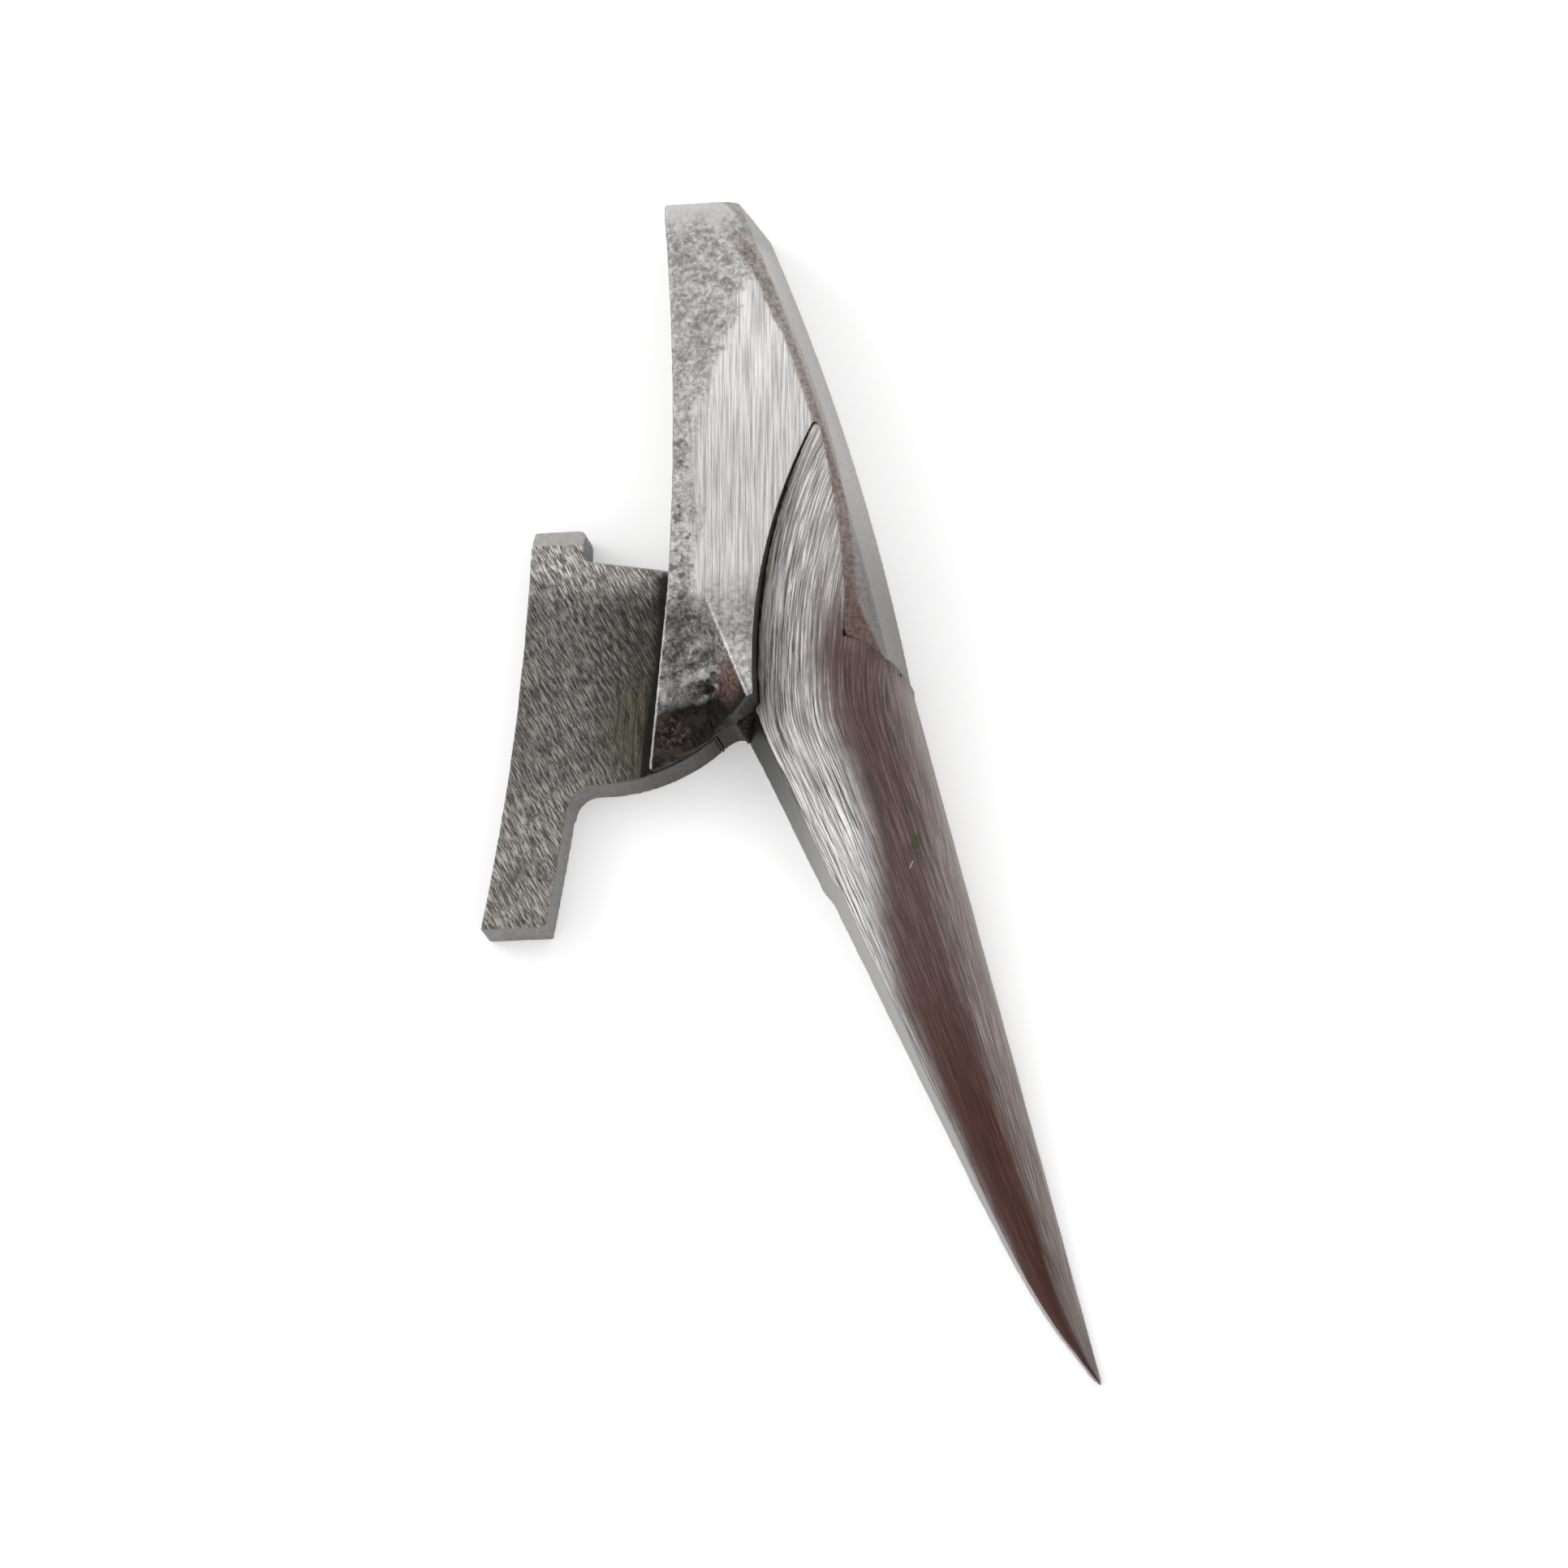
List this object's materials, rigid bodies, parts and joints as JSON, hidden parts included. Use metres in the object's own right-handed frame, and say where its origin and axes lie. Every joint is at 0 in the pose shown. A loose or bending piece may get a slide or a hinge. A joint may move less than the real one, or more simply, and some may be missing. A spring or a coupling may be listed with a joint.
{
  "type": "beak anvil",
  "caption": "Small hand-ground steel beak anvil: a flat clamping tang, a thick heel block and a long tapering beak with a sharp point.",
  "frame": {"origin": "middle of the tang plate's flat back face", "axes": "+X from the tang towards the spine side of the beak, +Y along the heel block away from the point, +Z out of the ground front faces; the tool lies on its flat back at Z = 0"},
  "size_m": [0.0498, 0.0981, 0.0095],
  "materials": {
    "tang_steel": "fine diagonal grinding marks, darkened",
    "heel_steel": "cast skin, part ground bright along its length",
    "beak_steel": "ground along its length, with a brown temper stain",
    "braze": "dull"
  },
  "bodies": {
    "root": {"tang_plate": "tang_steel", "heel_block": "heel_steel", "beak": "beak_steel", "tang_braze": "braze", "beak_braze": "braze"}
  },
  "joints": []
}
